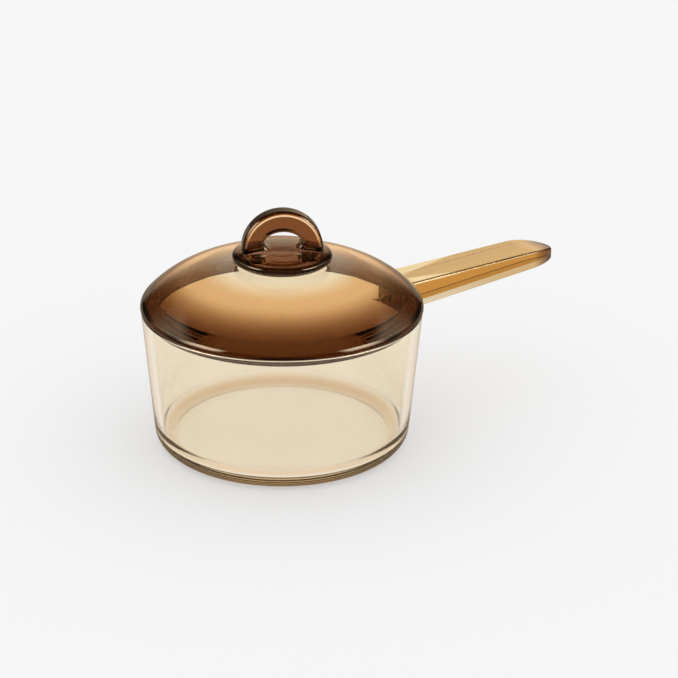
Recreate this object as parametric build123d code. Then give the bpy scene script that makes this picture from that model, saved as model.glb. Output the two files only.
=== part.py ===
from build123d import *
import math
import os

# A small glass saucepan with a domed glass lid.
# Millimetres. The base rests on Z 0, the pan's axis is Z and the handle points along +X.

# Pan bowl
rim_radius = 79.0           # outside of the bowl at its rim
base_radius = 71.8          # outside of the bowl, its wall carried straight down to the base
pan_height = 80.5
wall = 4.5
floor = 5.0
base_round = 9.5            # outside, between wall and base
floor_round = 11.0          # inside, between wall and floor
rim_round = 1.2

# Pan handle
handle_end = 195.8          # from the pan's axis to the tip
handle_below_rim = 1.1      # top face of the handle, below the rim
handle_width = 24.6
handle_root_depth = 16.2    # thickness where it leaves the wall
handle_end_depth = 9.5      # from the top face's level down to the underside of the tip
tip_bend = 26.0             # length over which the top curves down to the tip
tip_drop = 4.2              # how far it comes down
end_length = 24.0           # the elliptical end, seen from above
root_flare = 14.0           # radius that spreads the handle towards the wall
root_spread = 4.2           # how far each side spreads within the wall
handle_top_bevel = 1.5
handle_lower_round = 1.8

# Lid dome
seat_clearance = 0.3        # between the rim and the underside of the lid's edge
lid_overhang = 0.2          # lid edge beyond the rim
lid_edge = 2.0              # height of the lid's edge above its seat
lid_edge_round = 1.5
dome_rise = 25.9            # from the top of the lid's edge to the crown
crown_radius = 190.0
crown_reach = 45.0          # radius where the crown turns into the shoulder
lid_glass = 4.5
skirt_depth = 5.0           # how far the skirt reaches into the bowl
skirt_wall = 4.0
skirt_clearance = 1.2       # between the skirt and the bowl's wall, at the skirt's foot
skirt_round = 1.2

# Lid knob
knob_turn = -28.0           # how far the lid lies turned from the handle, degrees about Z
neck_radius = 25.6
neck_height = 1.0
disc_radius = 27.8
disc_thickness = 3.7        # at its edge
disc_rise = 4.0             # how far its top domes up to the middle
disc_round = 1.6
arch_radius = 22.6          # outside of the arch
finger_radius = 10.6        # inside of the arch
finger_round = 3.0          # lower corners of the hole
finger_sink = 1.2           # the hole's lower end, below the middle of the disc's top
arch_spring = 2.8           # the arch's centre above the disc's edge
arch_depth = 11.0
arch_round = 4.4
arch_foot_round = 1.8

edge_margin = 0.01          # tells edges apart by their place


def wall_outside(height):
    """Outer radius of the bowl's straight wall at a height."""
    return base_radius + (rim_radius - base_radius) * height / pan_height


def round_corner(outline, corner, radius):
    """Round the corner of a flat outline that lies nearest to a point."""
    return fillet(outline.vertices().sort_by_distance(corner)[0], radius)


def turned(outline):
    """Turn a half section, drawn as radius and height, about the pan's axis."""
    return revolve(Plane.XZ * outline, Axis.Z)


def bowl_outline(inside):
    """Half section of the bowl, hollow or as the solid that its outside encloses."""
    foot = (base_radius, 0)
    lip = (rim_radius, pan_height)
    inner_lip = (rim_radius - wall, pan_height)
    inner_foot = (wall_outside(floor) - wall, floor)
    if inside:
        points = [(0, 0), foot, lip, inner_lip, inner_foot, (0, floor)]
    else:
        points = [(0, 0), foot, lip, (0, pan_height)]
    outline = make_face(Polyline(*points, close=True))
    outline = round_corner(outline, foot, base_round)
    if inside:
        outline = round_corner(outline, inner_foot, floor_round)
        outline = round_corner(outline, lip, min(rim_round, 0.45 * wall))
        outline = round_corner(outline, inner_lip, min(rim_round, 0.45 * wall))
    return outline


def pan_bowl():
    """The straight, slightly flared glass bowl with a flat base."""
    return turned(bowl_outline(inside=True))


def handle_plan():
    """Outline of the handle from above: straight sides, an elliptical end and a flared root."""
    half = handle_width / 2
    end_start = handle_end - end_length
    # The outline starts inside the bowl, whose outside then trims it
    start = rim_radius - wall
    flare_start = start + math.sqrt(2 * root_flare * root_spread - root_spread ** 2)
    root = (start, half + root_spread)
    side = Line((flare_start, half), (end_start, half))
    flare = RadiusArc((flare_start, half), root, root_flare)
    lower = [mirror(edge, about=Plane.XZ) for edge in (side, flare)]
    end = EllipticalCenterArc((end_start, 0), end_length, half, start_angle=-90, arc_size=180)
    back = Line(root, (root[0], -root[1]))
    return make_face([side, flare, *lower, end, back])


def handle_side():
    """Outline of the handle from the side: a top that curves down to the tip, over a rising underside."""
    top = pan_height - handle_below_rim
    start = rim_radius - wall
    slope = (handle_root_depth - handle_end_depth) / (handle_end - rim_radius)
    points = [
        (handle_end, top - tip_drop),
        (handle_end, top - handle_end_depth),
        (start, top - handle_root_depth - slope * wall),
        (start, top),
        (handle_end - tip_bend, top),
    ]
    return make_face([Polyline(*points), TangentArc(points[-1], points[0], tangent=(1, 0))])


def rim_edges(faces):
    """Edges round a set of the handle's faces, without the one at its back and those inside the set."""
    lines = (rim_radius - wall, handle_end - tip_bend)
    edges = [edge for face in faces for edge in face.edges()]
    return [edge for edge in edges if all(abs(edge.center().X - line) > edge_margin for line in lines)]


def pan_handle():
    """The solid glass bar of the handle, seated on the bowl's outer wall."""
    plan = extrude(handle_plan(), pan_height)
    side = extrude(Plane.XZ * handle_side(), handle_width, both=True)
    bar = plan & side
    bar = fillet(rim_edges([bar.faces().sort_by(Axis.Z)[0]]), handle_lower_round)
    upper = [face for face in bar.faces() if face.normal_at().Z > 0.5]
    bar = chamfer(rim_edges(upper), handle_top_bevel)
    return bar - turned(bowl_outline(inside=False))


def dome_sections():
    """Heights, centres and radii of the lid's two arcs: the crown and the shoulder tangent to it."""
    edge_top = pan_height + seat_clearance + lid_edge
    crown_centre = edge_top + dome_rise - crown_radius
    turn = math.asin(crown_reach / crown_radius)
    outward = Vector(math.sin(turn), math.cos(turn))
    bend = Vector(0, crown_centre) + outward * crown_radius
    chord = Vector(rim_radius + lid_overhang, edge_top) - bend
    shoulder_radius = -chord.length ** 2 / (2 * chord.dot(outward))
    shoulder_centre = bend - outward * shoulder_radius
    return crown_centre, outward, shoulder_centre, shoulder_radius


def crown_height(radius, depth=0.0):
    """Height of the crown at a radius, on its outside or that depth below it."""
    crown_centre = dome_sections()[0]
    return crown_centre + math.sqrt((crown_radius - depth) ** 2 - radius ** 2)


def lid_dome():
    """The domed glass of the lid with its edge, its skirt and the flat pad under the knob."""
    crown_centre, outward, shoulder_centre, shoulder_radius = dome_sections()
    seat = pan_height + seat_clearance
    edge_radius = rim_radius + lid_overhang
    skirt_foot = pan_height - skirt_depth
    skirt_outside = wall_outside(skirt_foot) - wall - skirt_clearance
    skirt_inside = skirt_outside - skirt_wall
    crown_end = Vector(0, crown_centre) + outward * crown_radius
    inner_crown_end = crown_end - outward * lid_glass
    inner_radius = shoulder_radius - lid_glass
    inner_rise = math.sqrt(inner_radius ** 2 - (skirt_inside - shoulder_centre.X) ** 2)
    inner_start = Vector(skirt_inside, shoulder_centre.Y + inner_rise)
    along = Vector(outward.Y, -outward.X)
    pad = Vector(neck_radius, crown_height(neck_radius))
    inner_top = Vector(0, crown_height(0, lid_glass))
    edge = [
        (edge_radius, seat + lid_edge),
        (edge_radius, seat),
        (skirt_outside, seat),
        (skirt_outside, skirt_foot),
        (skirt_inside, skirt_foot),
        inner_start,
    ]
    outline = make_face([
        Line((0, pad.Y), pad),
        RadiusArc(pad, crown_end, crown_radius),
        TangentArc(crown_end, edge[0], tangent=along),
        Polyline(*edge),
        TangentArc(inner_crown_end, inner_start, tangent=along),
        RadiusArc(inner_top, inner_crown_end, crown_radius - lid_glass),
        Line(inner_top, (0, pad.Y)),
    ])
    outline = round_corner(outline, edge[1], min(lid_edge_round, 0.8 * lid_edge))
    for foot in edge[3:5]:
        outline = round_corner(outline, foot, min(skirt_round, 0.4 * skirt_wall))
    return turned(outline)


def knob_disc():
    """The round foot of the knob: a short neck on the dome's pad, under a domed disc with a rounded edge."""
    pad = crown_height(neck_radius)
    underside = pad + neck_height
    top = underside + disc_thickness
    points = [(0, pad), (neck_radius, pad), (neck_radius, underside), (disc_radius, underside),
              (disc_radius, top)]
    middle = (0, top + disc_rise)
    outline = make_face([
        Polyline(*points),
        TangentArc(middle, points[-1], tangent=(1, 0)),
        Line(middle, points[0]),
    ])
    for corner in points[3:5]:
        outline = round_corner(outline, corner, min(disc_round, 0.45 * disc_thickness))
    return turned(outline)


def knob_arch():
    """The arch that the fingers go through, standing on the disc."""
    disc_top = crown_height(neck_radius) + neck_height + disc_thickness
    leg = arch_spring + 0.75 * disc_thickness
    # Height of the hole's lower end from the arch's centre
    low = disc_rise - arch_spring - finger_sink
    outside = Circle(arch_radius) + Pos(0, -leg / 2) * Rectangle(2 * arch_radius, leg)
    hole = Circle(finger_radius) - Pos(0, low - arch_radius) * Rectangle(4 * arch_radius, 2 * arch_radius)
    hole = fillet(hole.vertices(), min(finger_round, 0.3 * finger_radius))
    below = Pos(0, -leg - arch_radius) * Rectangle(4 * arch_radius, 2 * arch_radius)
    band = outside - hole - below
    arch = extrude(Plane.XZ * band, arch_depth / 2, both=True)
    faces = arch.faces().filter_by(Axis.Y)
    edges = [edge for edge in faces.edges() if edge.center().Z > -leg + edge_margin]
    band_width = arch_radius - finger_radius
    arch = fillet(edges, min(arch_round, 0.45 * arch_depth, 0.45 * band_width, 0.9 * (leg + low)))
    return Pos(0, 0, disc_top + arch_spring) * arch


def lid_knob():
    """The knob in one piece, turned as the lid lies."""
    knob = knob_disc() + knob_arch()
    on_disc = [edge for face in knob.faces().filter_by(GeomType.SPHERE) for edge in face.edges()]
    feet = [edge for edge in on_disc if edge.bounding_box().max.X < arch_radius + edge_margin]
    knob = fillet(feet, arch_foot_round)
    return Rot(0, 0, knob_turn) * knob


pieces = {
    "pan_bowl": pan_bowl,
    "pan_handle": pan_handle,
    "lid_dome": lid_dome,
    "lid_knob": lid_knob,
}

os.makedirs("parts", exist_ok=True)
for name, make in pieces.items():
    export_step(make(), f"parts/{name}.step")
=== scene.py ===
import math

import bpy
from bpy.props import FloatProperty, FloatVectorProperty, PointerProperty
from bpy.types import Operator, Panel, PropertyGroup
from mathutils import Matrix, Vector


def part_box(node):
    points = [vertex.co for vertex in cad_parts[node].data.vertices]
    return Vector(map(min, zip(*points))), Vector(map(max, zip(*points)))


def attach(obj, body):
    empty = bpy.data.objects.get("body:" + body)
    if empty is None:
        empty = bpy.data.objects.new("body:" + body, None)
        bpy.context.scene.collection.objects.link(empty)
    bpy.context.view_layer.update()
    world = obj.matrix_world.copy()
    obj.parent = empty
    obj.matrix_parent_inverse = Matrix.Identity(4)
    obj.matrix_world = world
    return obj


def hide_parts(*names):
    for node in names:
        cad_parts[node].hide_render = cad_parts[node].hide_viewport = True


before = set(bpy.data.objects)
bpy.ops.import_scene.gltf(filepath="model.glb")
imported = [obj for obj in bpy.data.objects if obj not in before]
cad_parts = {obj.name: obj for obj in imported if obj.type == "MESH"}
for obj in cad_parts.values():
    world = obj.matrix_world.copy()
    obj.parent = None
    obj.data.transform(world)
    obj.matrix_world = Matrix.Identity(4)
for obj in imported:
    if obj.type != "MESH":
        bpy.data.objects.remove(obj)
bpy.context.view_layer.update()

bl_info = {
    "name": "Glass saucepan",
    "version": (1, 0, 0),
    "blender": (4, 5, 0),
    "location": "3D View > Sidebar > Saucepan",
    "description": "Models an amber glass saucepan with a domed lid around its packed frame",
    "category": "Object",
}

MM = 0.001
BOWL_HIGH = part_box("pan_bowl")[1]
HANDLE_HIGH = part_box("pan_handle")[1]
DOME_LOW, DOME_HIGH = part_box("lid_dome")
KNOB_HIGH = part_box("lid_knob")[1]

# Pixels along each side of the photo
PHOTO_SIDE = 678
# Steps round a turned piece
TURN_STEPS = 192
# A cut that passes a vertex this closely goes through it
CUT_LIMIT = 1e-7
# Vertices this close are one
MERGE_LIMIT = 0.001 * MM
# Tells edges apart by their place
PLACE_MARGIN = 0.01 * MM
# Edges at least this sharp are corners
CORNER = math.radians(60.0)
# Edges at least this sharp bound a bevel
BEVEL_EDGE = math.radians(30.0)
# Faces that turn less than this are shaded as one
SMOOTH = math.radians(35.0)


def length(label, text, default):
    """A size in metres that a user may change."""
    return FloatProperty(name=label, description=text, default=default, min=0.0, precision=5,
                         subtype="DISTANCE", unit="LENGTH")


def span(label, text, default, unit="LENGTH"):
    """A first and a last place of a change, which a user may move."""
    return FloatVectorProperty(name=label, description=text, default=default, size=2, precision=5,
                               unit=unit)


def tint(label, text, default):
    """A colour that a user may change."""
    return FloatVectorProperty(name=label, description=text, default=default, size=3,
                               min=0.0, max=1.0, subtype="COLOR")


def amount(label, text, default, most=1000.0):
    """A plain number that a user may change."""
    return FloatProperty(name=label, description=text, default=default, min=0.0, max=most)


def angle(label, text, degrees):
    """An angle that a user may change."""
    return FloatProperty(name=label, description=text, default=math.radians(degrees), subtype="ANGLE",
                         unit="ROTATION")


class PanSizes(PropertyGroup):
    """Sizes of the bowl and its handle."""
    rim_radius: length("Rim radius", "Outside of the bowl at its rim", BOWL_HIGH.x)
    height: length("Height", "From the base to the rim", BOWL_HIGH.z)
    base_radius: length("Base radius", "The wall carried down to the base", 71.8 * MM)
    wall: length("Wall", "Thickness of the wall", 4.5 * MM)
    floor: length("Floor", "Thickness of the base", 5.0 * MM)
    base_round: length("Base rounding", "Outside, between wall and base", 9.5 * MM)
    floor_round: length("Floor rounding", "Inside, between wall and floor", 11.0 * MM)
    rim_round: length("Rim rounding", "On both edges of the rim", 1.4 * MM)
    handle_end: length("Handle end", "From the pan's axis to the tip", HANDLE_HIGH.x)
    handle_top: length("Handle top", "Height of the handle's top face", HANDLE_HIGH.z)
    handle_width: length("Handle width", "Across the handle", 24.6 * MM)
    root_depth: length("Root depth", "Thickness where the handle leaves the wall", 16.2 * MM)
    root_sink: length("Root sink", "How far the handle reaches into the wall", 3.9 * MM)
    tip_depth: length("Tip depth", "From the top's level down to the underside of the tip", 9.5 * MM)
    tip_bend: length("Tip bend", "Length over which the top curves down to the tip", 26.0 * MM)
    tip_drop: length("Tip drop", "How far the top comes down at the tip", 4.2 * MM)
    end_length: length("Rounded end", "Length of the elliptical end", 24.0 * MM)
    flare: length("Root flare", "Radius that spreads the root", 14.0 * MM)
    spread: length("Root spread", "How far each side spreads within the wall", 4.2 * MM)
    top_bevel: length("Top bevel", "Flat bevel round the top face", 0.8 * MM)
    lower_round: length("Lower rounding", "Round the underside", 0.5 * MM)
    edge_round: length("Edge rounding", "Fire-polished edges of the top bevel", 0.33 * MM)


class LidSizes(PropertyGroup):
    """Sizes of the dome and its knob."""
    edge_radius: length("Edge radius", "Outside of the lid", DOME_HIGH.x)
    seat: length("Seat", "Height of the face that rests just over the rim", BOWL_HIGH.z + 0.3 * MM)
    edge: length("Edge", "Height of the lid's edge", 2.0 * MM)
    rise: length("Rise", "From the top of the edge to the crown", 25.9 * MM)
    crown_radius: length("Crown radius", "Radius of the curve over the middle", 190.0 * MM)
    crown_reach: length("Crown reach", "Where the crown turns into the shoulder", 45.0 * MM)
    glass: length("Glass", "Thickness of the dome", 4.5 * MM)
    skirt_foot: length("Skirt foot", "Lowest point of the skirt", DOME_LOW.z)
    skirt_radius: length("Skirt radius", "Outside of the skirt", 72.85 * MM)
    skirt_wall: length("Skirt wall", "Thickness of the skirt", 4.0 * MM)
    bead: length("Bead", "Rounding of the lid's edge, on top", 4.4 * MM)
    edge_round: length("Edge rounding", "Under the lid's edge", 0.3 * MM)
    seat_round: length("Seat rounding", "Between the seat and the skirt", 0.6 * MM)
    skirt_round: length("Skirt rounding", "On the foot of the skirt", 0.8 * MM)
    neck_radius: length("Neck radius", "The knob's neck on the dome", 25.6 * MM)
    neck_height: length("Neck height", "From the dome's pad to the disc", 1.0 * MM)
    neck_foot_round: length("Neck foot rounding", "On the foot of the neck", 0.2 * MM)
    neck_round: length("Neck rounding", "Between the neck and the disc", 0.4 * MM)
    bond: length("Bond", "Thickness of the clear bond under the knob", 0.1 * MM)
    disc_radius: length("Disc radius", "The knob's round foot", KNOB_HIGH.x)
    disc: length("Disc", "Thickness of the knob's foot at its edge", 3.7 * MM)
    disc_rise: length("Disc rise", "How far the disc's top domes up to the middle", 4.0 * MM)
    disc_round: length("Disc rounding", "On the edge of the disc", 1.6 * MM)
    arch_radius: length("Arch radius", "Outside of the arch", 22.6 * MM)
    arch_sink: amount("Arch sink", "How far the arch reaches into the disc, in its thicknesses", 0.75, 1.0)
    arch_top: length("Arch top", "Highest point of the knob", KNOB_HIGH.z)
    arch_depth: length("Arch depth", "Front to back", 11.0 * MM)
    arch_round: length("Arch rounding", "On the edges of the arch", 2.4 * MM)
    finger_radius: length("Finger radius", "Inside of the arch, at its top", 10.6 * MM)
    finger_stretch: amount("Finger stretch", "How much wider than round the hole is", 1.2, 2.0)
    finger_round: length("Finger rounding", "Lower corners of the arch's hole", 4.0 * MM)
    finger_sink: length("Finger sink", "The hole's lower end, below the middle of the disc's top", 0.4 * MM)
    turn: angle("Turn", "How far the lid lies turned from the handle", -28.0)


class GlassLooks(PropertyGroup):
    """Colours and finish of the three glasses; many of the face tints are painted light and shade."""
    pan_tint: tint("Pan absorption", "Colour that the pan's glass lets through", (0.88, 0.78, 0.58))
    pan_density: amount("Pan density", "How strongly the pan's glass absorbs, per metre", 14.0)
    bowl_face: tint("Bowl face", "Tint of the bowl's faces", (0.88, 0.82, 0.715))
    base_face: tint("Base face", "Tint of the rounding at the bowl's base", (0.58, 0.36, 0.18))
    # The handle's own amber with painted shade, on its near side only
    near_amber_and_shade: tint("Handle face", "Tint of the handle's near side", (0.337, 0.077, 0.0032))
    # Painted light: a paler band along the handle's lower edge
    strip_painted_light: tint("Handle strip", "Tint along the handle's lower edge", (0.58, 0.305, 0.096))
    # The handle's own amber with painted shade on its top
    top_amber_and_shade: tint("Handle top", "Tint of the handle's top face", (0.482, 0.220, 0.048))
    # Painted light: pale wedges on the handle's top beside its root
    flare_painted_light: tint("Root flares", "Tint of the handle's top beside its root", (1.0, 0.72, 0.30))
    # Painted shade: a dark end on the handle
    tip_painted_shade: tint("Handle tip", "Tint of the handle's end", (0.096, 0.048, 0.032))
    lid_tint: tint("Lid absorption", "Colour that the dome's glass lets through", (0.72, 0.50, 0.20))
    lid_density: amount("Lid density", "How strongly the dome's glass absorbs, per metre", 18.0)
    crown_face: tint("Crown face", "Tint of the dome's faces round the knob", (1.0, 0.91, 0.73))
    # Painted shade: the dome darkens over its shoulder and most at its rim
    shoulder_painted_shade: tint("Shoulder face", "Tint of the dome's faces at its shoulder", (0.82, 0.52, 0.26))
    rim_painted_shade: tint("Rim face", "Tint of the dome's faces at its rim", (0.078, 0.0225, 0.0055))
    knob_tint: tint("Knob absorption", "Colour that the knob's glass lets through", (0.66, 0.46, 0.24))
    knob_density: amount("Knob density", "How strongly the knob's glass absorbs, per metre", 38.0)
    arch_face: tint("Arch face", "Tint of the arch's front", (0.0453, 0.00825, 0.0012))
    # Painted light: a pale back half of the knob
    back_painted_light: tint("Back face", "Tint of the back half of the knob", (1.0, 0.70, 0.44))
    # Painted shade on the knob's edges and the arch's feet
    edge_painted_shade: tint("Edge face", "Tint of the knob's edges and the arch's feet", (0.011, 0.0035, 0.0011))
    # Painted highlight: a pale line round the arch
    line_painted_highlight: tint("Line", "Tint of the pale line round the arch", (1.0, 0.86, 0.62))
    disc_face: tint("Disc face", "Tint of the disc's top", (0.42, 0.24, 0.15))
    index: amount("Index", "Index of refraction of the glass", 1.5, 3.0)
    ripples: amount("Ripples", "Slow ripples to a metre of pressed glass", 38.0)
    wave: length("Waviness", "Depth of the ripples", 0.05 * MM)
    wave_strength: amount("Wave strength", "How much of that depth shows", 0.35, 1.0)
    wipes: amount("Wipe marks", "Wipe marks to a metre", 120.0)
    wipe_levels: span("Wipe levels", "Levels at which marks show and are full", (0.45, 0.75), "NONE")
    wipe_rough: amount("Wipe roughness", "Roughness of a full wipe mark", 0.04, 1.0)
    streaks: amount("Streaks", "Streaks of colour to a metre", 22.0)
    streak_depth: amount("Streak depth", "How much the streaks change the colour", 0.08, 1.0)


class TintPlaces(PropertyGroup):
    """Where the tints of the glass, many of them painted light and shade, begin and where they are full."""
    base_ring: span("Base ring", "Inwards from the foot of the bowl's wall", (14.25 * MM, 0.0))
    root: span("Root", "From the rim outwards, where the bowl's tint gives way", (0.0, 7.0 * MM))
    # Places of the handle's painted shade and painted light
    near_side: span("Near side", "From the handle's middle to its near side", (4.92 * MM, 7.38 * MM))
    strip: span("Strip", "Up from the handle's underside, beyond the strip", (3.564 * MM, 4.536 * MM))
    strip_root: amount("Strip root", "Share of the strip's tint at the handle's root", 0.25, 1.0)
    top: span("Top", "Down from the level of the handle's top", (1.6 * MM, 1.12 * MM))
    flares: span("Flares", "From the middle of the handle's top to the flares", (2.0 * MM, 4.0 * MM))
    far_half: span("Far half", "From the middle of the handle's top to its far half", (0.0, 1.0 * MM))
    far_flare: length("Far flare", "How much broader the far flare is", 3.5 * MM)
    flare_taper: amount("Flare taper", "How fast the flares narrow along the handle", 0.24, 1.0)
    flare_share: amount("Flare share", "How much of their tint the flares get", 0.9, 1.0)
    tip: span("Tip", "Back from the handle's end", (13.0 * MM, 4.0 * MM))
    # Places of the dome's painted shade
    shoulder: span("Shoulder", "Radii from the crown's to the shoulder's tint", (29.952 * MM, 49.5 * MM))
    rim: span("Rim", "Radii from the shoulder's to the rim's tint", (52.0 * MM, DOME_HIGH.x))
    # Places of the knob's painted shade, painted light and painted highlight
    arch_edge: span("Arch edge", "Inwards from the arch's outside", (1.2 * MM, 0.0))
    hole_edge: span("Hole edge", "Outwards from the arch's hole", (2.4 * MM, 0.5 * MM))
    line: span("Line", "Either way from the pale line's middle", (1.1 * MM, 0.4 * MM))
    line_inset: length("Line inset", "From the arch's outside in to the pale line", 1.68 * MM)
    feet: span("Feet", "Up from the disc, on the arch's feet", (3.6 * MM, 1.8 * MM))
    back: span("Back", "From the arch's middle to its back", (0.0, 2.75 * MM))
    back_edge: amount("Back edge", "Share of the back's tint that the outer edge goes without", 0.3, 1.0)
    disc_top: span("Disc top", "Up from the disc's top", (0.5 * MM, 0.1 * MM))
    disc_edge: span("Disc edge", "Inwards from the disc's edge, on its top", (1.6 * MM, 3.2 * MM))


class StageSettings(PropertyGroup):
    """Camera, light and background."""
    azimuth: angle("Azimuth", "Where the camera stands round the pan", -33.9)
    elevation: angle("Elevation", "How far the camera looks down", 23.58)
    distance: length("Distance", "From the camera to the middle of the pan", 1.2)
    middle: length("Middle", "Height on the pan's axis that the distance is measured to", 50.0 * MM)
    axis_x: amount("Axis across", "Image column of that point", 282.2)
    axis_y: amount("Axis down", "Image row of that point", 354.7)
    scale: amount("Scale", "Pixels to a millimetre at that point", 1.7686)
    floor_size: length("Floor size", "Length of the floor's sides", 20.0)
    floor_drop: length("Floor drop", "How far the floor lies below the base", 0.05 * MM)
    floor_apex: length("Floor apex", "Where the floor's bright part starts, before the pan", 0.35)
    white: amount("White", "Level of the pale background", 0.93)
    glow: amount("Glow", "Level of the floor behind the pan, seen through glass", 1.15)
    glow_share: amount("Glow share", "How much of the floor glows, as glass shows it", 0.9, 1.0)
    lift: amount("Lift", "How far the floor's shadow is lifted towards the background", 0.45, 1.0)
    haze: amount("Haze", "Level of the horizon where glass reflects it", 0.9)
    warmth: tint("Warmth", "Colour of the background where glass reflects it", (1.0, 0.76, 0.50))
    mirrored: amount("Mirrored", "Level of the floor where glass reflects it", 0.3)
    dark: amount("Dark", "Level of the studio beside and in front of the pan, in glass", 0.04)
    open: span("Open", "Cosines of the turn from the view, from dark to bright", (0.35, 0.85), "NONE")
    horizon: span("Horizon", "The same for what glass reflects", (0.87, 0.99), "NONE")
    softbox: amount("Softbox", "Brightness of the two softboxes, which only glass reflects", 14.0)
    box_foot: span("Softbox foot", "Sines of the height at which they begin", (0.0, 0.5), "NONE")
    box_top: span("Softbox top", "Sines of the height at which they end", (0.72, 0.60), "NONE")
    box_near: span("Softbox near", "Cosines of the turn at their near ends", (0.68, 0.52), "NONE")
    box_far: span("Softbox far", "Cosines of the turn at their far ends", (-0.8, -0.3), "NONE")
    box_main: span("Softbox main", "Cosines of the turn where they grow bright", (-0.1, 0.25), "NONE")
    box_tail: amount("Softbox tail", "Brightness of their far parts, as a share", 0.12, 1.0)


# Modelling helpers


def start(name, add, **how):
    """Add a primitive with nothing else selected, and open it in edit mode."""
    bpy.ops.object.select_all(action="DESELECT")
    add(**how)
    piece = bpy.context.active_object
    piece.name = piece.data.name = name
    bpy.ops.object.mode_set(mode="EDIT")
    bpy.ops.mesh.select_mode(type="VERT")
    return piece


def choose_edges(piece, wanted, sharpness=0.0):
    """Select the edges that are as sharp as asked and whose two ends pass a test."""
    bpy.ops.mesh.select_mode(type="EDGE")
    bpy.ops.mesh.select_all(action="SELECT")
    if sharpness > 0:
        bpy.ops.mesh.select_all(action="DESELECT")
        bpy.ops.mesh.edges_select_sharp(sharpness=sharpness)
    bpy.ops.object.mode_set(mode="OBJECT")
    mesh = piece.data
    for edge in mesh.edges:
        first, second = (mesh.vertices[i].co for i in edge.vertices)
        edge.select = edge.select and wanted(first, second)
    for part in (*mesh.vertices, *mesh.polygons):
        part.select = False
    bpy.ops.object.mode_set(mode="EDIT")


def extrude_by(step):
    """Extrude the selection by a step."""
    bpy.ops.mesh.extrude_region_move(TRANSFORM_OT_translate={"value": step})


def merge_and_face_out():
    """Join doubled vertices and point every face outwards."""
    bpy.ops.mesh.select_all(action="SELECT")
    bpy.ops.mesh.remove_doubles(threshold=MERGE_LIMIT)
    bpy.ops.mesh.normals_make_consistent(inside=False)


def draw_run(points):
    """Draw a run of points with one vertex, made from the small plane that was just added."""
    bpy.ops.mesh.merge(type="CENTER")
    bpy.ops.transform.translate(value=points[0])
    for here, there in zip(points, points[1:]):
        bpy.ops.mesh.extrude_vertices_move(TRANSFORM_OT_translate={"value": there - here})


def turn_outline(name, outline):
    """Draw a half section and spin it about the pan's axis."""
    piece = start(name, bpy.ops.mesh.primitive_plane_add, size=MM)
    draw_run([Vector((radius, 0.0, height)) for radius, height in outline])
    bpy.ops.mesh.select_all(action="SELECT")
    bpy.ops.mesh.spin(steps=TURN_STEPS, angle=math.tau, center=(0, 0, 0), axis=(0, 0, 1))
    merge_and_face_out()
    bpy.ops.object.mode_set(mode="OBJECT")
    return piece


def focus(piece):
    """Make a piece the active one, with nothing else selected."""
    bpy.ops.object.select_all(action="DESELECT")
    bpy.context.view_layer.objects.active = piece
    piece.select_set(True)


def join_glass(piece, other):
    """Fuse another closed shape into a piece and remove it."""
    focus(piece)
    union = piece.modifiers.new("Fuse", "BOOLEAN")
    union.operation = "UNION"
    union.solver = "EXACT"
    union.object = other
    bpy.ops.object.modifier_apply(modifier=union.name)
    bpy.data.objects.remove(other)


def polish(piece):
    """Smooth a piece's faces, with the flat ones kept flat."""
    focus(piece)
    bpy.ops.object.shade_smooth_by_angle(angle=SMOOTH)
    flat = piece.modifiers.new("Flat faces", "WEIGHTED_NORMAL")
    flat.keep_sharp = True
    bpy.ops.object.modifier_apply(modifier=flat.name)


# Outlines, as points of radius and height


def straight(first, last, steps):
    """Points of a straight run after its first one."""
    return [Vector(first).lerp(Vector(last), k / steps) for k in range(1, steps + 1)]


def arc(centre, radius, first, last, steps):
    """Points of an arc after its first one; angles run from the outward radius up."""
    turns = (first + (last - first) * k / steps for k in range(1, steps + 1))
    return [Vector(centre) + radius * Vector((math.cos(a), math.sin(a))) for a in turns]


def rounded(points, radii, steps):
    """An outline with its corners rounded by arcs; a radius of 0 keeps the corner."""
    outline = [Vector(points[0])]
    for before, corner, after, radius in zip(points, points[1:], points[2:], radii):
        back = (Vector(before) - Vector(corner)).normalized()
        ahead = (Vector(after) - Vector(corner)).normalized()
        if radius == 0:
            outline.append(Vector(corner))
            continue
        half = math.acos(back.dot(ahead)) / 2
        middle = Vector(corner) + (back + ahead).normalized() * radius / math.sin(half)
        begin = Vector(corner) + back * radius / math.tan(half) - middle
        finish = Vector(corner) + ahead * radius / math.tan(half) - middle
        sweep = begin.angle_signed(finish)
        first = math.atan2(begin.y, begin.x)
        outline.append(middle + begin)
        outline += arc(middle, radius, first, first - sweep, steps)
    outline.append(Vector(points[-1]))
    return outline


def divided(outline, longest):
    """An outline with its long straight runs divided."""
    points = [outline[0]]
    for here, there in zip(outline, outline[1:]):
        steps = max(1, math.ceil((there - here).length / longest))
        points += straight(here, there, steps)
    return points


# The pan


def bowl_outline(pan):
    """Half section of the bowl from the middle of its base round to the middle of its floor."""
    slope = (pan.rim_radius - pan.base_radius) / pan.height
    inner_foot = pan.base_radius + slope * pan.floor - pan.wall
    points = [
        (0.0, 0.0),
        (pan.base_radius, 0.0),
        (pan.rim_radius, pan.height),
        (pan.rim_radius - pan.wall, pan.height),
        (inner_foot, pan.floor),
        (0.0, pan.floor),
    ]
    radii = [pan.base_round, pan.rim_round, pan.rim_round, pan.floor_round]
    return divided(rounded(points, radii, steps=10), longest=6.0 * MM)


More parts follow.
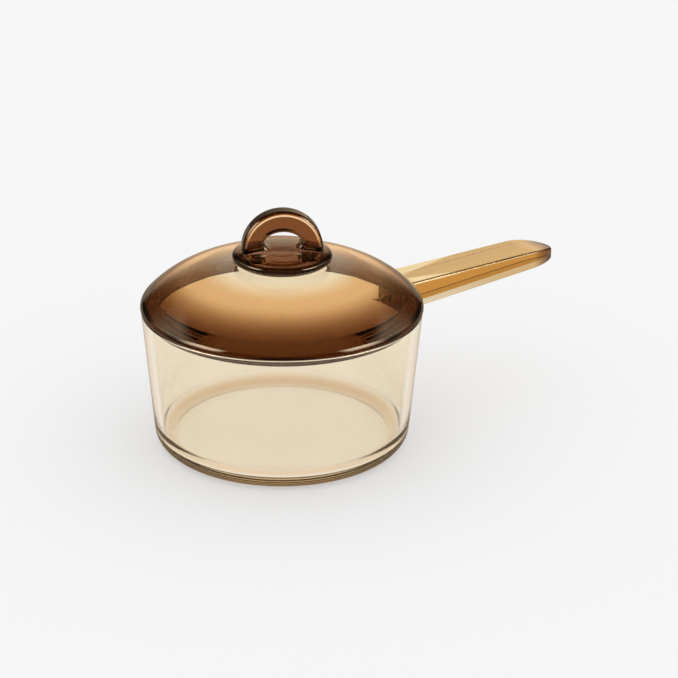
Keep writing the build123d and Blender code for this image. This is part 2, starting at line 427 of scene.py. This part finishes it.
def make_handle(pan):
    """The handle: an elliptical end drawn out into a bar, cut to its wedge and bevelled."""
    half = pan.handle_width / 2
    end_start = pan.handle_end - pan.end_length
    root = pan.rim_radius - pan.root_sink
    flare_length = math.sqrt(2 * pan.flare * pan.spread - pan.spread ** 2)
    piece = start("handle", bpy.ops.mesh.primitive_circle_add, vertices=96, radius=half,
                  fill_type="NGON", location=(0, 0, 0))
    bpy.ops.mesh.select_all(action="SELECT")
    bpy.ops.mesh.bisect(plane_co=(0, 0, 0), plane_no=(1, 0, 0), clear_inner=True)
    bpy.ops.mesh.select_all(action="SELECT")
    bpy.ops.transform.resize(value=(pan.end_length / half, 1, 1), center_override=(0, 0, 0))
    bpy.ops.transform.translate(value=(end_start, 0, pan.handle_top))
    choose_edges(piece, lambda a, b: max(a.x, b.x) < end_start + PLACE_MARGIN)
    extrude_by((root + flare_length - end_start, 0, 0))
    steps = 8
    width = half
    for k in range(1, steps + 1):
        extrude_by((-flare_length / steps, 0, 0))
        run = flare_length * k / steps
        wider = half + pan.flare - math.sqrt(pan.flare ** 2 - run ** 2)
        bpy.ops.transform.resize(value=(1, wider / width, 1), center_override=(0, 0, 0))
        width = wider
    # The bar starts deeper than its underside, which then cuts it
    bpy.ops.mesh.select_all(action="SELECT")
    extrude_by((0, 0, -2 * pan.root_depth))
    merge_and_face_out()
    under, down = underside(pan)
    bpy.ops.mesh.select_all(action="SELECT")
    bpy.ops.mesh.bisect(plane_co=under, plane_no=down, use_fill=True, clear_outer=True, threshold=CUT_LIMIT)
    bevel_handle(piece, pan, root)
    bend_tip(piece, pan)
    return piece


def underside(pan):
    """A point of the handle's underside, which rises to the tip, and the direction that it faces."""
    rise = (pan.root_depth - pan.tip_depth) / (pan.handle_end - pan.rim_radius)
    return Vector((pan.handle_end, 0, pan.handle_top - pan.tip_depth)), Vector((rise, 0, -1)).normalized()


def bevel_handle(piece, pan, root):
    """Round the handle's lower edges, and bevel its top and polish that bevel, but not at the root."""
    under, down = underside(pan)

    def is_lower(a, b):
        off = max(abs((end - under).dot(down)) for end in (a, b))
        return off < PLACE_MARGIN and max(a.x, b.x) >= root + PLACE_MARGIN

    def is_upper(a, b):
        # Just below the lower edge of the bevel
        limit = pan.handle_top - 1.1 * pan.top_bevel
        return min(a.z, b.z) > limit and max(a.x, b.x) >= root + PLACE_MARGIN

    choose_edges(piece, is_lower)
    bpy.ops.mesh.bevel(offset=pan.lower_round, segments=8, affect="EDGES")
    choose_edges(piece, is_upper, CORNER)
    bpy.ops.mesh.bevel(offset=pan.top_bevel, segments=1, affect="EDGES")
    choose_edges(piece, is_upper, BEVEL_EDGE)
    bpy.ops.mesh.bevel(offset=pan.edge_round, segments=3, affect="EDGES")
    merge_and_face_out()


def bend_tip(piece, pan):
    """Divide the top near the tip into strips and let it down along an arc."""
    bend = pan.handle_end - pan.tip_bend
    strips = 14
    for k in range(strips):
        bpy.ops.mesh.select_all(action="SELECT")
        bpy.ops.mesh.bisect(plane_co=(bend + pan.tip_bend * k / strips, 0, 0), plane_no=(1, 0, 0),
                            threshold=CUT_LIMIT)
    bpy.ops.object.mode_set(mode="OBJECT")
    radius = (pan.tip_bend ** 2 + pan.tip_drop ** 2) / (2 * pan.tip_drop)
    # The bevel and its polished edges come down with the top
    lowest = pan.handle_top - pan.top_bevel - 2 * pan.edge_round
    for vertex in piece.data.vertices:
        run = vertex.co.x - bend
        if run > 0 and vertex.co.z > lowest:
            vertex.co.z -= radius - math.sqrt(radius ** 2 - run ** 2)


class SAUCEPAN_OT_pan(Operator):
    """Model the bowl and the handle as one piece of amber glass"""
    bl_idname = "saucepan.pan"
    bl_label = "Pan"

    def execute(self, context):
        scene = context.scene
        pan = scene.pan_sizes
        piece = turn_outline("pan_glass", bowl_outline(pan))
        join_glass(piece, make_handle(pan))
        polish(piece)
        piece.data.materials.append(pan_glass(scene.glass_looks, scene.tint_places, pan))
        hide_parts("pan_bowl", "pan_handle")
        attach(piece, "pan")
        return {"FINISHED"}


# The lid


def dome_arcs(lid):
    """Centres of the crown and of the shoulder, the shoulder's radius and the turn where they meet."""
    edge_top = lid.seat + lid.edge
    crown = Vector((0.0, edge_top + lid.rise - lid.crown_radius))
    turn = math.asin(lid.crown_reach / lid.crown_radius)
    outward = Vector((math.sin(turn), math.cos(turn)))
    bend = crown + outward * lid.crown_radius
    chord = Vector((lid.edge_radius, edge_top)) - bend
    radius = -chord.length_squared / (2 * chord.dot(outward))
    return crown, bend - outward * radius, radius, math.pi / 2 - turn


def pad_height(lid):
    """Height of the flat pad on the crown that carries the knob."""
    crown = dome_arcs(lid)[0]
    return crown.y + math.sqrt(lid.crown_radius ** 2 - lid.neck_radius ** 2)


def dome_outline(lid):
    """Half section of the dome from the middle of its pad round to the middle of its inside."""
    crown, shoulder, radius, bend = dome_arcs(lid)
    pad = pad_height(lid)
    pad_turn = math.acos(lid.neck_radius / lid.crown_radius)
    edge_top = lid.seat + lid.edge
    edge_turn = math.atan2(edge_top - shoulder.y, lid.edge_radius - shoulder.x)
    inside = lid.skirt_radius - lid.skirt_wall
    inner_turn = math.acos((inside - shoulder.x) / (radius - lid.glass))
    inner_start = shoulder + (radius - lid.glass) * Vector((math.cos(inner_turn), math.sin(inner_turn)))
    outline = [Vector((0.0, pad)), Vector((lid.neck_radius, pad))]
    outline += arc(crown, lid.crown_radius, pad_turn, bend, steps=8)
    outline += arc(shoulder, radius, bend, edge_turn, steps=24)[:-1]
    edge = [
        outline[-1],
        (lid.edge_radius, edge_top),
        (lid.edge_radius, lid.seat),
        (lid.skirt_radius, lid.seat),
        (lid.skirt_radius, lid.skirt_foot),
        (inside, lid.skirt_foot),
        inner_start,
    ]
    radii = [lid.bead, lid.edge_round, lid.seat_round, lid.skirt_round, lid.skirt_round]
    outline += rounded(edge, radii, steps=6)[1:]
    outline += arc(shoulder, radius - lid.glass, inner_turn, bend, steps=24)
    outline += arc(crown, lid.crown_radius - lid.glass, bend, math.pi / 2, steps=20)
    return divided(outline, longest=6.0 * MM)


class SAUCEPAN_OT_dome(Operator):
    """Model the lid's dome with its edge, skirt and pad"""
    bl_idname = "saucepan.dome"
    bl_label = "Lid dome"

    def execute(self, context):
        scene = context.scene
        piece = turn_outline("lid_glass", dome_outline(scene.lid_sizes))
        polish(piece)
        piece.data.materials.append(lid_glass(scene.glass_looks, scene.tint_places))
        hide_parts("lid_dome")
        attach(piece, "lid")
        return {"FINISHED"}


def disc_top(lid):
    """Height of the top of the disc's edge."""
    return pad_height(lid) + lid.neck_height + lid.disc


def disc_outline(lid):
    """Half section of the knob's neck and disc, from the middle of its foot to that of its domed top."""
    foot = pad_height(lid) + lid.bond
    under = pad_height(lid) + lid.neck_height
    top = disc_top(lid)
    radius = (lid.disc_radius ** 2 + lid.disc_rise ** 2) / (2 * lid.disc_rise)
    centre = Vector((0.0, top + lid.disc_rise - radius))
    edge_turn = math.acos(lid.disc_radius / radius)
    points = [
        (0.0, foot),
        (lid.neck_radius, foot),
        (lid.neck_radius, under),
        (lid.disc_radius, under),
        (lid.disc_radius, top),
    ]
    radii = [lid.neck_foot_round, lid.neck_round, lid.disc_round, lid.disc_round]
    dome = arc(centre, radius, edge_turn, math.pi / 2, steps=10)
    smooth = [0.0] * (len(dome) - 1)
    return divided(rounded(points + dome, radii + smooth, steps=6), longest=4.0 * MM)


def arch_loops(lid):
    """The arch's outline and its hole from the front, as closed runs with as many points each."""
    radius = lid.arch_radius
    # Heights of the arch's foot and of the hole's lower end, from the arch's centre
    disc_height = lid.arch_radius - lid.arch_top + disc_top(lid)
    foot = disc_height - lid.arch_sink * lid.disc
    low = disc_height + lid.disc_rise - lid.finger_sink
    # The centre of a lower corner's rounding, and the turn at which that meets the hole's circle
    corner_reach = lid.finger_radius - lid.finger_round
    corner_height = low + lid.finger_round
    corner_side = math.sqrt(corner_reach ** 2 - corner_height ** 2)
    meet = math.atan2(corner_height, corner_side)
    # Points along a leg or a corner, over the arc and along the foot
    leg, over, along = 8, 64, 12
    outside = [Vector((radius, foot))]
    outside += straight((radius, foot), (radius, 0.0), leg)
    outside += arc((0.0, 0.0), radius, 0.0, math.pi, over)
    outside += straight((-radius, 0.0), (-radius, foot), leg)
    outside += straight((-radius, foot), (radius, foot), along)
    hole = [Vector((corner_side, low))]
    hole += arc((corner_side, corner_height), lid.finger_round, -math.pi / 2, meet, leg)
    hole += arc((0.0, 0.0), lid.finger_radius, meet, math.pi - meet, over)
    hole += arc((-corner_side, corner_height), lid.finger_round, math.pi - meet, 1.5 * math.pi, leg)
    hole += straight((-corner_side, low), (corner_side, low), along)
    return outside, [Vector((x * lid.finger_stretch, z)) for x, z in hole]


def make_arch(lid):
    """The arch: its outline bridged to its hole, drawn out to its depth and rounded along both faces."""
    outside, hole = arch_loops(lid)
    centre = lid.arch_top - lid.arch_radius
    foot = centre + outside[0].y
    front = -lid.arch_depth / 2
    piece = start("arch", bpy.ops.mesh.primitive_plane_add, size=MM)
    draw_run([Vector((x, front, centre + z)) for x, z in outside])
    bpy.ops.mesh.primitive_plane_add(size=MM)
    draw_run([Vector((x, front, centre + z)) for x, z in hole])
    bpy.ops.mesh.select_all(action="SELECT")
    bpy.ops.mesh.remove_doubles(threshold=MERGE_LIMIT)
    bpy.ops.mesh.select_mode(type="EDGE")
    bpy.ops.mesh.select_all(action="SELECT")
    bpy.ops.mesh.bridge_edge_loops()
    bpy.ops.mesh.select_all(action="SELECT")
    extrude_by((0, lid.arch_depth, 0))
    merge_and_face_out()
    choose_edges(piece, lambda a, b: min(a.z, b.z) > foot + PLACE_MARGIN, CORNER)
    bpy.ops.mesh.bevel(offset=lid.arch_round, segments=8, affect="EDGES")
    merge_and_face_out()
    bpy.ops.object.mode_set(mode="OBJECT")
    piece.rotation_euler.z = lid.turn
    bpy.ops.object.transform_apply(rotation=True)
    return piece


class SAUCEPAN_OT_knob(Operator):
    """Model the knob: a disc on a short neck, with an arch for a finger"""
    bl_idname = "saucepan.knob"
    bl_label = "Lid knob"

    def execute(self, context):
        scene = context.scene
        lid = scene.lid_sizes
        piece = turn_outline("knob_glass", disc_outline(lid))
        join_glass(piece, make_arch(lid))
        polish(piece)
        piece.data.materials.append(knob_glass(scene.glass_looks, scene.tint_places, lid))
        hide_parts("lid_knob")
        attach(piece, "lid")
        return {"FINISHED"}


# Materials


class Wire:
    """A shader socket that Python's operators combine into Math nodes."""

    def __init__(self, graph, socket):
        self.graph = graph
        self.socket = socket

    def math(self, operation, first, second):
        """Add a Math node and give its result."""
        return self.graph.add("ShaderNodeMath", {"operation": operation}, {0: first, 1: second})

    def __add__(self, other):
        return self.math("ADD", self, other)

    def __radd__(self, other):
        return self.math("ADD", other, self)

    def __sub__(self, other):
        return self.math("SUBTRACT", self, other)

    def __rsub__(self, other):
        return self.math("SUBTRACT", other, self)

    def __mul__(self, other):
        return self.math("MULTIPLY", self, other)

    def __rmul__(self, other):
        return self.math("MULTIPLY", other, self)

    def __truediv__(self, other):
        return self.math("DIVIDE", self, other)

    def __rtruediv__(self, other):
        return self.math("DIVIDE", other, self)

    def __pow__(self, other):
        return self.math("POWER", self, other)

    def __rpow__(self, other):
        return self.math("POWER", other, self)

    def __abs__(self):
        return self.math("ABSOLUTE", self, 0.0)


class Graph:
    """The node tree of a material or a world."""

    def __init__(self, owner):
        owner.use_nodes = True
        self.tree = owner.node_tree
        self.tree.nodes.clear()

    def add(self, kind, setup=None, sockets=None, output=0):
        """Add a node, set it up, fill or link its sockets, and give one of its outputs."""
        node = self.tree.nodes.new(kind)
        for name, value in (setup or {}).items():
            setattr(node, name, value)
        for name, value in (sockets or {}).items():
            if isinstance(value, Wire):
                self.tree.links.new(value.socket, node.inputs[name])
            else:
                node.inputs[name].default_value = value
        return Wire(self, node.outputs[output]) if node.outputs else None


def colour(rgb):
    """A colour with its alpha, as a socket takes it."""
    return (*rgb, 1.0)


def axes(graph, vector):
    """The three parts of a vector."""
    node = graph.add("ShaderNodeSeparateXYZ", None, {"Vector": vector}).socket.node
    return [Wire(graph, output) for output in node.outputs]


def distance(first, second):
    """How far a place lies from a point, from its two offsets."""
    return (first * first + second * second) ** 0.5


def ramp(graph, value, low, high):
    """A smooth step from 0 at one value to 1 at another, which may be the smaller one."""
    return graph.add("ShaderNodeMapRange", {"interpolation_type": "SMOOTHSTEP"},
                     {"Value": value, "From Min": low, "From Max": high})


def back_from(origin, places):
    """The two places of a span that is measured back from an origin."""
    return [origin - place for place in places]


def on_from(origin, places):
    """The two places of a span that is measured on from an origin."""
    return [origin + place for place in places]


def noise(graph, place, scale, detail, roughness=0.5):
    """Cloudy levels about one half, with as many clouds to a metre as the scale says."""
    return graph.add("ShaderNodeTexNoise", {"noise_dimensions": "3D"},
                     {"Vector": place, "Scale": scale, "Detail": detail, "Roughness": roughness}, "Fac")


def blend(first, second, mask):
    """A colour that goes from one to another along a mask as glass does with its depth."""
    rest = 1 - mask
    return [first[k] ** rest * second[k] ** mask for k in range(3)]


def start_glass(name):
    """A new material, its node tree and the place on the piece."""
    material = bpy.data.materials.new(name)
    graph = Graph(material)
    return material, graph, graph.add("ShaderNodeTexCoord", None, None, "Object")


def glass_surface(graph, place, looks, tinted, absorbed, density):
    """Pressed glass with slow ripples, wipe marks and streaks, and a colour that grows with thickness."""
    streaks = noise(graph, place, looks.streaks, detail=2.0)
    shade = 1 + looks.streak_depth / 2 - looks.streak_depth * streaks
    face = graph.add("ShaderNodeCombineColor", None, {k: tinted[k] * shade for k in range(3)})
    wipes = noise(graph, place, looks.wipes, detail=4.0, roughness=0.6)
    shows, full = looks.wipe_levels
    rough = graph.add("ShaderNodeMapRange", None, {
        "Value": wipes,
        "From Min": shows,
        "From Max": full,
        "To Min": 0.0,
        "To Max": looks.wipe_rough,
    })
    ripple = noise(graph, place, looks.ripples, detail=1.0, roughness=0.4)
    normal = graph.add("ShaderNodeBump", None, {
        "Strength": looks.wave_strength,
        "Distance": looks.wave,
        "Height": ripple,
    }, "Normal")
    shader = graph.add("ShaderNodeBsdfPrincipled", None, {
        "Base Color": face,
        "Roughness": rough,
        "IOR": looks.index,
        "Transmission Weight": 1.0,
        "Normal": normal,
    })
    volume = graph.add("ShaderNodeVolumeAbsorption", None, {"Color": colour(absorbed), "Density": density})
    graph.add("ShaderNodeOutputMaterial", None, {"Surface": shader, "Volume": volume})


def pan_glass(looks, places, pan):
    """The pan's amber glass, deeper round its base and in the handle, with painted shade on the handle's
    near side, top and tip, and painted light along its lower strip and at the root's pale flares.
    """
    material, graph, place = start_glass("pan_glass")
    x, y, z = axes(graph, place)
    ring = ramp(graph, distance(x, y), *back_from(pan.base_radius, places.base_ring))
    base = ring * (1 - ramp(graph, z, 0.0, pan.base_round))
    # The handle beyond the rim, its near side, the part of that above the strip, and its top
    out = ramp(graph, x, *on_from(pan.rim_radius, places.root))
    near = ramp(graph, y, *back_from(0.0, places.near_side))
    under, down = underside(pan)
    height = (z - under.z) * (-down.z) - (x - under.x) * down.x
    above = ramp(graph, height, *places.strip) * near
    top = ramp(graph, z, *back_from(pan.handle_top, places.top))
    # The strip's painted light deepens in colour towards the tip, and the flares' painted light narrows
    along = ramp(graph, x, pan.rim_radius, pan.handle_end - pan.end_length)
    strip = near * (1 - above) * (1 - top) * (places.strip_root + (1 - places.strip_root) * along)
    broader = places.far_flare * ramp(graph, y, *places.far_half)
    aside = abs(y) + broader - (x - pan.rim_radius) * places.flare_taper
    flare = places.flare_share * top * ramp(graph, aside, *places.flares)
    end = ramp(graph, x, *back_from(pan.handle_end, places.tip)) * (1 - top)
    tinted = blend(looks.bowl_face, looks.base_face, base)
    # The handle's own amber with painted shade, on its near side above the strip
    tinted = blend(tinted, looks.near_amber_and_shade, out * above)
    # Painted light along the handle's lower strip
    tinted = blend(tinted, looks.strip_painted_light, out * strip)
    # The handle's own amber with painted shade on its top
    tinted = blend(tinted, looks.top_amber_and_shade, out * top)
    # Painted light on the flares beside the handle's root
    tinted = blend(tinted, looks.flare_painted_light, out * flare)
    # Painted shade on the handle's end
    tinted = blend(tinted, looks.tip_painted_shade, end)
    glass_surface(graph, place, looks, tinted, looks.pan_tint, looks.pan_density)
    return material


def lid_glass(looks, places):
    """The lid's brown glass, with painted shade over its shoulder that is deepest at its rim."""
    material, graph, place = start_glass("lid_glass")
    x, y, z = axes(graph, place)
    radius = distance(x, y)
    # Painted shade from the crown out over the shoulder, deepest at the rim
    tinted = blend(looks.crown_face, looks.shoulder_painted_shade, ramp(graph, radius, *places.shoulder))
    tinted = blend(tinted, looks.rim_painted_shade, ramp(graph, radius, *places.rim))
    glass_surface(graph, place, looks, tinted, looks.lid_tint, looks.lid_density)
    return material


def knob_glass(looks, places, lid):
    """The knob's brown glass, with painted shade at its edges and feet, painted light on its back and a
    painted highlight along the arch.
    """
    material, graph, place = start_glass("knob_glass")
    x, y, z = axes(graph, place)
    # Offsets along the arch and across it, above its centre and above the disc's domed top
    along = x * math.cos(lid.turn) + y * math.sin(lid.turn)
    across = y * math.cos(lid.turn) - x * math.sin(lid.turn)
    centre = lid.arch_top - lid.arch_radius
    rise = graph.add("ShaderNodeMath", {"operation": "MAXIMUM"}, {0: z - centre, 1: 0.0})
    radius = distance(x, y)
    domed = disc_top(lid) + lid.disc_rise - radius * radius * (lid.disc_rise / lid.disc_radius ** 2)
    above = z - domed
    reach = distance(along, rise)
    hole_reach = distance(along / lid.finger_stretch, rise)
    # Masks of the painted shade, the painted highlight and the painted light
    outer = ramp(graph, reach, *back_from(lid.arch_radius, places.arch_edge))
    inner = ramp(graph, hole_reach, *on_from(lid.finger_radius, places.hole_edge))
    line = ramp(graph, abs(reach - (lid.arch_radius - places.line_inset)), *places.line)
    feet = ramp(graph, above, *places.feet)
    back = ramp(graph, across, *places.back) * (1 - places.back_edge * outer)
    inside = ramp(graph, radius, *back_from(lid.disc_radius, places.disc_edge))
    top = inside * ramp(graph, above, *places.disc_top)
    # Painted shade at the arch's outside and round its hole
    tinted = blend(looks.arch_face, looks.edge_painted_shade, outer)
    tinted = blend(tinted, looks.edge_painted_shade, inner)
    # Painted highlight along the arch
    tinted = blend(tinted, looks.line_painted_highlight, line)
    # Painted shade on the arch's feet
    tinted = blend(tinted, looks.edge_painted_shade, feet)
    # Painted light on the knob's back half
    tinted = blend(tinted, looks.back_painted_light, back)
    tinted = blend(tinted, looks.disc_face, top)
    glass_surface(graph, place, looks, tinted, looks.knob_tint, looks.knob_density)
    return material


# The stage


def make_world(stage):
    """Even white light, and for glass a pale background that is dark overhead, beside and in front."""
    world = bpy.data.worlds.new("studio")
    bpy.context.scene.world = world
    graph = Graph(world)
    camera, through, mirrored, lit = ray_kinds(graph)
    direction = unit(graph, graph.add("ShaderNodeTexCoord", None, None, "Generated"))
    behind = lit_behind(graph, direction, stage, stage.open)
    horizon = lit_behind(graph, direction, stage, stage.horizon)
    seen_mirrored = horizon * stage.haze + stage.softbox * softboxes(graph, direction, stage) + stage.dark
    in_glass = through * (behind * stage.white + stage.dark) + mirrored * seen_mirrored
    level = camera * stage.white + (1 - camera) * (lit + (1 - lit) * (in_glass + 1 - through - mirrored))
    light = graph.add("ShaderNodeBackground", None, {
        "Color": warm(graph, stage, mirrored),
        "Strength": level,
    })
    graph.add("ShaderNodeOutputWorld", None, {"Surface": light})


def ray_kinds(graph):
    """1 for rays from the camera, through glass, mirrored by glass, and that light a matt surface."""
    path = graph.add("ShaderNodeLightPath", None, None, "Is Camera Ray")
    outputs = path.socket.node.outputs
    through = Wire(graph, outputs["Is Transmission Ray"])
    mirrored = (1 - through) * Wire(graph, outputs["Is Glossy Ray"])
    lit = graph.add("ShaderNodeClamp", None, {"Value": Wire(graph, outputs["Diffuse Depth"])})
    return path, through, mirrored, lit


def warm(graph, stage, mirrored):
    """White, but the warm colour of the studio where glass reflects it."""
    white = colour((1.0, 1.0, 1.0))
    return graph.add("ShaderNodeMix", {"data_type": "RGBA"},
                     {"Factor": mirrored, 6: white, 7: colour(stage.warmth)}, 2)


def unit(graph, direction):
    """A direction with a length of 1."""
    return graph.add("ShaderNodeVectorMath", {"operation": "NORMALIZE"}, {0: direction})


def lit_behind(graph, direction, stage, cosines):
    """1 for directions that lead behind the pan, as seen by the camera, and 0 beside and in front."""
    ahead = (-math.sin(stage.azimuth), math.cos(stage.azimuth), 0)
    along = graph.add("ShaderNodeVectorMath", {"operation": "DOT_PRODUCT"},
                      {0: direction, 1: ahead}, "Value")
    return ramp(graph, along, *cosines)


def softboxes(graph, direction, stage):
    """1 where a softbox stands left or right of the camera; both fade downwards and towards the back."""
    x, y, z = axes(graph, direction)
    toward = x * math.sin(stage.azimuth) - y * math.cos(stage.azimuth)
    turn = toward / (1 - z * z) ** 0.5
    height = ramp(graph, z, *stage.box_foot) * ramp(graph, z, *stage.box_top)
    width = ramp(graph, turn, *stage.box_near) * ramp(graph, turn, *stage.box_far)
    return height * width * (stage.box_tail + (1 - stage.box_tail) * ramp(graph, turn, *stage.box_main))


def make_floor(stage):
    """A plain pale floor, brighter where it is seen through glass."""
    piece = start("floor", bpy.ops.mesh.primitive_plane_add, size=stage.floor_size)
    bpy.ops.mesh.subdivide(number_cuts=4)
    bpy.ops.transform.translate(value=(0, 0, -stage.floor_drop))
    bpy.ops.object.mode_set(mode="OBJECT")
    material = bpy.data.materials.new("floor")
    graph = Graph(material)
    camera, through, mirrored, lit = ray_kinds(graph)
    place = graph.add("ShaderNodeTexCoord", None, None, "Object")
    apex = stage.floor_apex * Vector((math.sin(stage.azimuth), -math.cos(stage.azimuth), 0))
    direction = graph.add("ShaderNodeVectorMath", {"operation": "SUBTRACT"}, {0: place, 1: apex})
    behind = lit_behind(graph, unit(graph, direction), stage, stage.open)
    level = behind * (stage.glow * through + stage.mirrored * mirrored) + stage.dark * (1 - camera)
    matt = graph.add("ShaderNodeBsdfDiffuse", None, {"Color": colour((stage.white,) * 3)})
    bright = graph.add("ShaderNodeEmission", None, {
        "Color": warm(graph, stage, mirrored),
        "Strength": level + camera * stage.white,
    })
    share = (through + mirrored) * stage.glow_share + camera * stage.lift
    shader = graph.add("ShaderNodeMixShader", None, {0: share, 1: matt, 2: bright})
    graph.add("ShaderNodeOutputMaterial", None, {"Surface": shader})
    piece.data.materials.append(material)


def camera_axes(stage):
    """Directions from the object back to the camera, to the right and up."""
    back = Vector((math.sin(stage.azimuth) * math.cos(stage.elevation),
                   -math.cos(stage.azimuth) * math.cos(stage.elevation),
                   math.sin(stage.elevation)))
    right = Vector((math.cos(stage.azimuth), math.sin(stage.azimuth), 0))
    return back, right, back.cross(right)


def make_camera(stage):
    """A camera at the photo's angle, with the pan's axis upright at its place in the image."""
    back, right, up = camera_axes(stage)
    middle = Vector((0, 0, stage.middle))
    place = middle + back * stage.distance
    focal = stage.scale * stage.distance / MM
    across = (PHOTO_SIDE / 2 - stage.axis_x) / focal
    down = (PHOTO_SIDE / 2 - stage.axis_y) / focal
    upright = Vector((0, 0, 1))
    # Each round brings the axis closer to upright, and four are enough
    for _ in range(4):
        ahead = (right * across - up * down - back).normalized()
        to_axis = middle - place
        level = to_axis * upright.dot(ahead) - upright * to_axis.dot(ahead)
        right = level.cross(ahead).normalized()
        up = right.cross(ahead)
    data = bpy.data.cameras.new("camera")
    data.lens = focal / PHOTO_SIDE * data.sensor_width
    data.clip_end = 50.0
    camera = bpy.data.objects.new("camera", data)
    bpy.context.scene.collection.objects.link(camera)
    camera.location = place
    camera.rotation_euler = Matrix((right, up, -ahead)).transposed().to_euler()
    bpy.context.scene.camera = camera


class SAUCEPAN_OT_stage(Operator):
    """Set the floor, the light and the camera"""
    bl_idname = "saucepan.stage"
    bl_label = "Stage"

    def execute(self, context):
        scene = context.scene
        scene.view_settings.view_transform = "Standard"
        # Light crosses many faces of thick glass before it leaves
        scene.cycles.max_bounces = 32
        scene.cycles.glossy_bounces = 24
        scene.cycles.transmission_bounces = 32
        make_world(scene.stage_settings)
        make_floor(scene.stage_settings)
        make_camera(scene.stage_settings)
        return {"FINISHED"}


class SAUCEPAN_PT_sidebar(Panel):
    """The saucepan's pieces and settings"""
    bl_label = "Glass saucepan"
    bl_idname = "SAUCEPAN_PT_sidebar"
    bl_space_type = "VIEW_3D"
    bl_region_type = "UI"
    bl_category = "Saucepan"

    def draw(self, context):
        for name, group in GROUPS.items():
            box = self.layout.box()
            for setting in group.__annotations__:
                box.prop(getattr(context.scene, name), setting)
        for operator in OPERATORS:
            self.layout.operator(operator.bl_idname)


GROUPS = {
    "pan_sizes": PanSizes,
    "lid_sizes": LidSizes,
    "glass_looks": GlassLooks,
    "tint_places": TintPlaces,
    "stage_settings": StageSettings,
}
OPERATORS = (SAUCEPAN_OT_stage, SAUCEPAN_OT_pan, SAUCEPAN_OT_dome, SAUCEPAN_OT_knob)


def register():
    """Register the settings, the operators and the panel."""
    for name, group in GROUPS.items():
        bpy.utils.register_class(group)
        setattr(bpy.types.Scene, name, PointerProperty(type=group))
    for operator in OPERATORS:
        bpy.utils.register_class(operator)
    bpy.utils.register_class(SAUCEPAN_PT_sidebar)


def unregister():
    """Take back all that was registered."""
    bpy.utils.unregister_class(SAUCEPAN_PT_sidebar)
    for operator in reversed(OPERATORS):
        bpy.utils.unregister_class(operator)
    for name, group in reversed(GROUPS.items()):
        delattr(bpy.types.Scene, name)
        bpy.utils.unregister_class(group)


def main():
    """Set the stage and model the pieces."""
    register()
    bpy.ops.saucepan.stage()
    bpy.ops.saucepan.pan()
    bpy.ops.saucepan.dome()
    bpy.ops.saucepan.knob()


if __name__ == "__main__":
    main()
